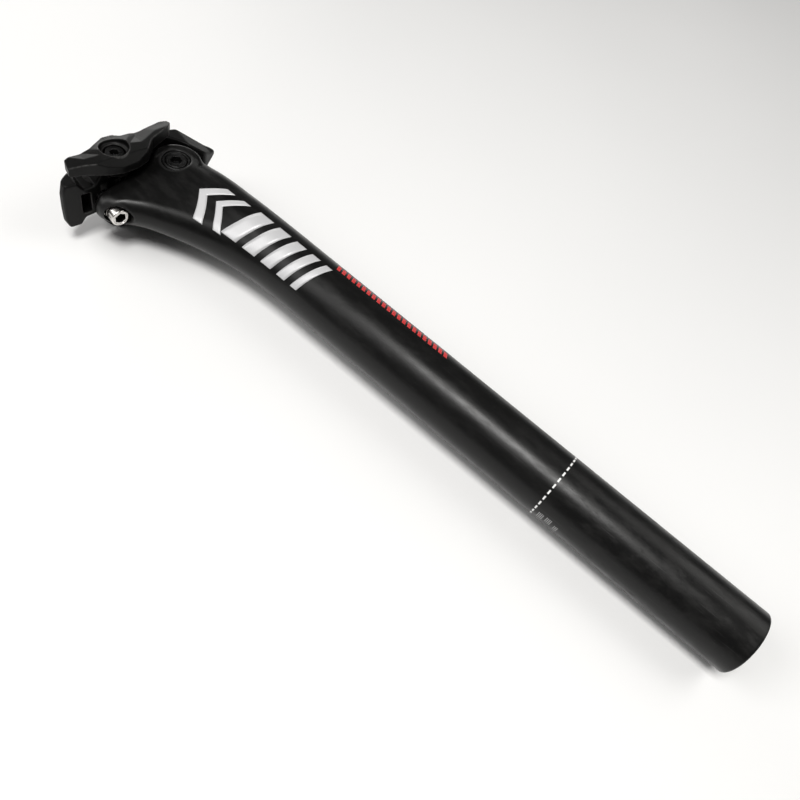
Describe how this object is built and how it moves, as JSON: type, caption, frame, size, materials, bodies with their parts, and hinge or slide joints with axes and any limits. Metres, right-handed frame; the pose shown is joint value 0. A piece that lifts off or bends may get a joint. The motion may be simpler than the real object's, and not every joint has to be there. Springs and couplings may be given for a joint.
{
  "type": "setback seatpost",
  "caption": "Carbon bicycle seatpost: a straight tube with a set-back head carrying a pivoting cradle and side jaws that clamp the saddle rails.",
  "frame": {"origin": "under the middle of the bounding box, on the surface that the post lies on", "axes": "+X up the tube towards the head, +Y to the rear of the bicycle (the set-back side), +Z to the near side, up from the surface it lies on"},
  "size_m": [0.3588, 0.0832, 0.045],
  "materials": {
    "carbon": "matte black clear coat over carbon fibre",
    "blasted_alloy": "bead-blasted, black anodised",
    "black_steel": "black oxide",
    "silver_steel": "bright zinc plated",
    "alloy": "dark anodised, turned",
    "polymer": "plain"
  },
  "bodies": {
    "post": {"post_body": "carbon", "near_pivot_insert": "alloy", "far_pivot_insert": "alloy", "pivot_nut": "black_steel", "pivot_sleeve": "alloy", "near_thrust_washer": "polymer", "far_thrust_washer": "polymer", "tilt_seat_washer": "silver_steel"},
    "pivot_screw": {"pivot_bolt": "black_steel"},
    "cradle": {"cradle": "blasted_alloy"},
    "tilt_nut": {"tilt_barrel_nut": "silver_steel"},
    "near_clamp": {"near_jaw": "blasted_alloy", "clamp_washer": "black_steel"},
    "clamp_screw": {"clamp_bolt": "black_steel"},
    "far_clamp": {"far_jaw": "blasted_alloy", "clamp_sleeve_nut": "black_steel"},
    "tilt_swivel": {"tilt_ball_washer": "silver_steel"},
    "tilt_screw": {"tilt_bolt": "silver_steel"}
  },
  "joints": [
    {"name": "cradle_tilt", "type": "hinge", "parent": "post", "child": "cradle", "pos_m": [0.15325, -0.01134, 0.0225], "axis": [0, 0, 1], "range_deg": [-8, 3]},
    {"name": "near_jaw_slide", "type": "slide", "parent": "cradle", "child": "near_clamp", "axis": [0, 0, 1], "range_m": [0, 0.006]},
    {"name": "far_jaw_slide", "type": "slide", "parent": "cradle", "child": "far_clamp", "axis": [0, 0, -1], "range_m": [0, 0.006]},
    {"name": "pivot_bolt_spin", "type": "hinge", "parent": "post", "child": "pivot_screw", "pos_m": [0.15325, -0.01134, 0.0225], "axis": [0, 0, 1], "continuous": true},
    {"name": "clamp_bolt_spin", "type": "hinge", "parent": "near_clamp", "child": "clamp_screw", "pos_m": [0.16777, 0.0121, 0.0225], "axis": [0, 0, 1], "continuous": true},
    {"name": "tilt_screw_swing", "type": "hinge", "parent": "post", "child": "tilt_swivel", "pos_m": [0.15754, 0.02387, 0.0225], "axis": [0, 0, 1], "range_deg": [-7, 3]},
    {"name": "tilt_screw_spin", "type": "hinge", "parent": "tilt_swivel", "child": "tilt_screw", "pos_m": [0.15754, 0.02387, 0.0225], "axis": [0.9833, -0.1822, 0], "continuous": true},
    {"name": "tilt_nut_swivel", "type": "hinge", "parent": "cradle", "child": "tilt_nut", "pos_m": [0.17091, 0.02139, 0.0225], "axis": [0, 0, 1], "range_deg": [-1, 2]}
  ],
  "couplings": [
    {"joint": "tilt_screw_swing", "follows": "cradle_tilt", "ratio": 0.84},
    {"joint": "tilt_nut_swivel", "follows": "cradle_tilt", "ratio": -0.16}
  ]
}
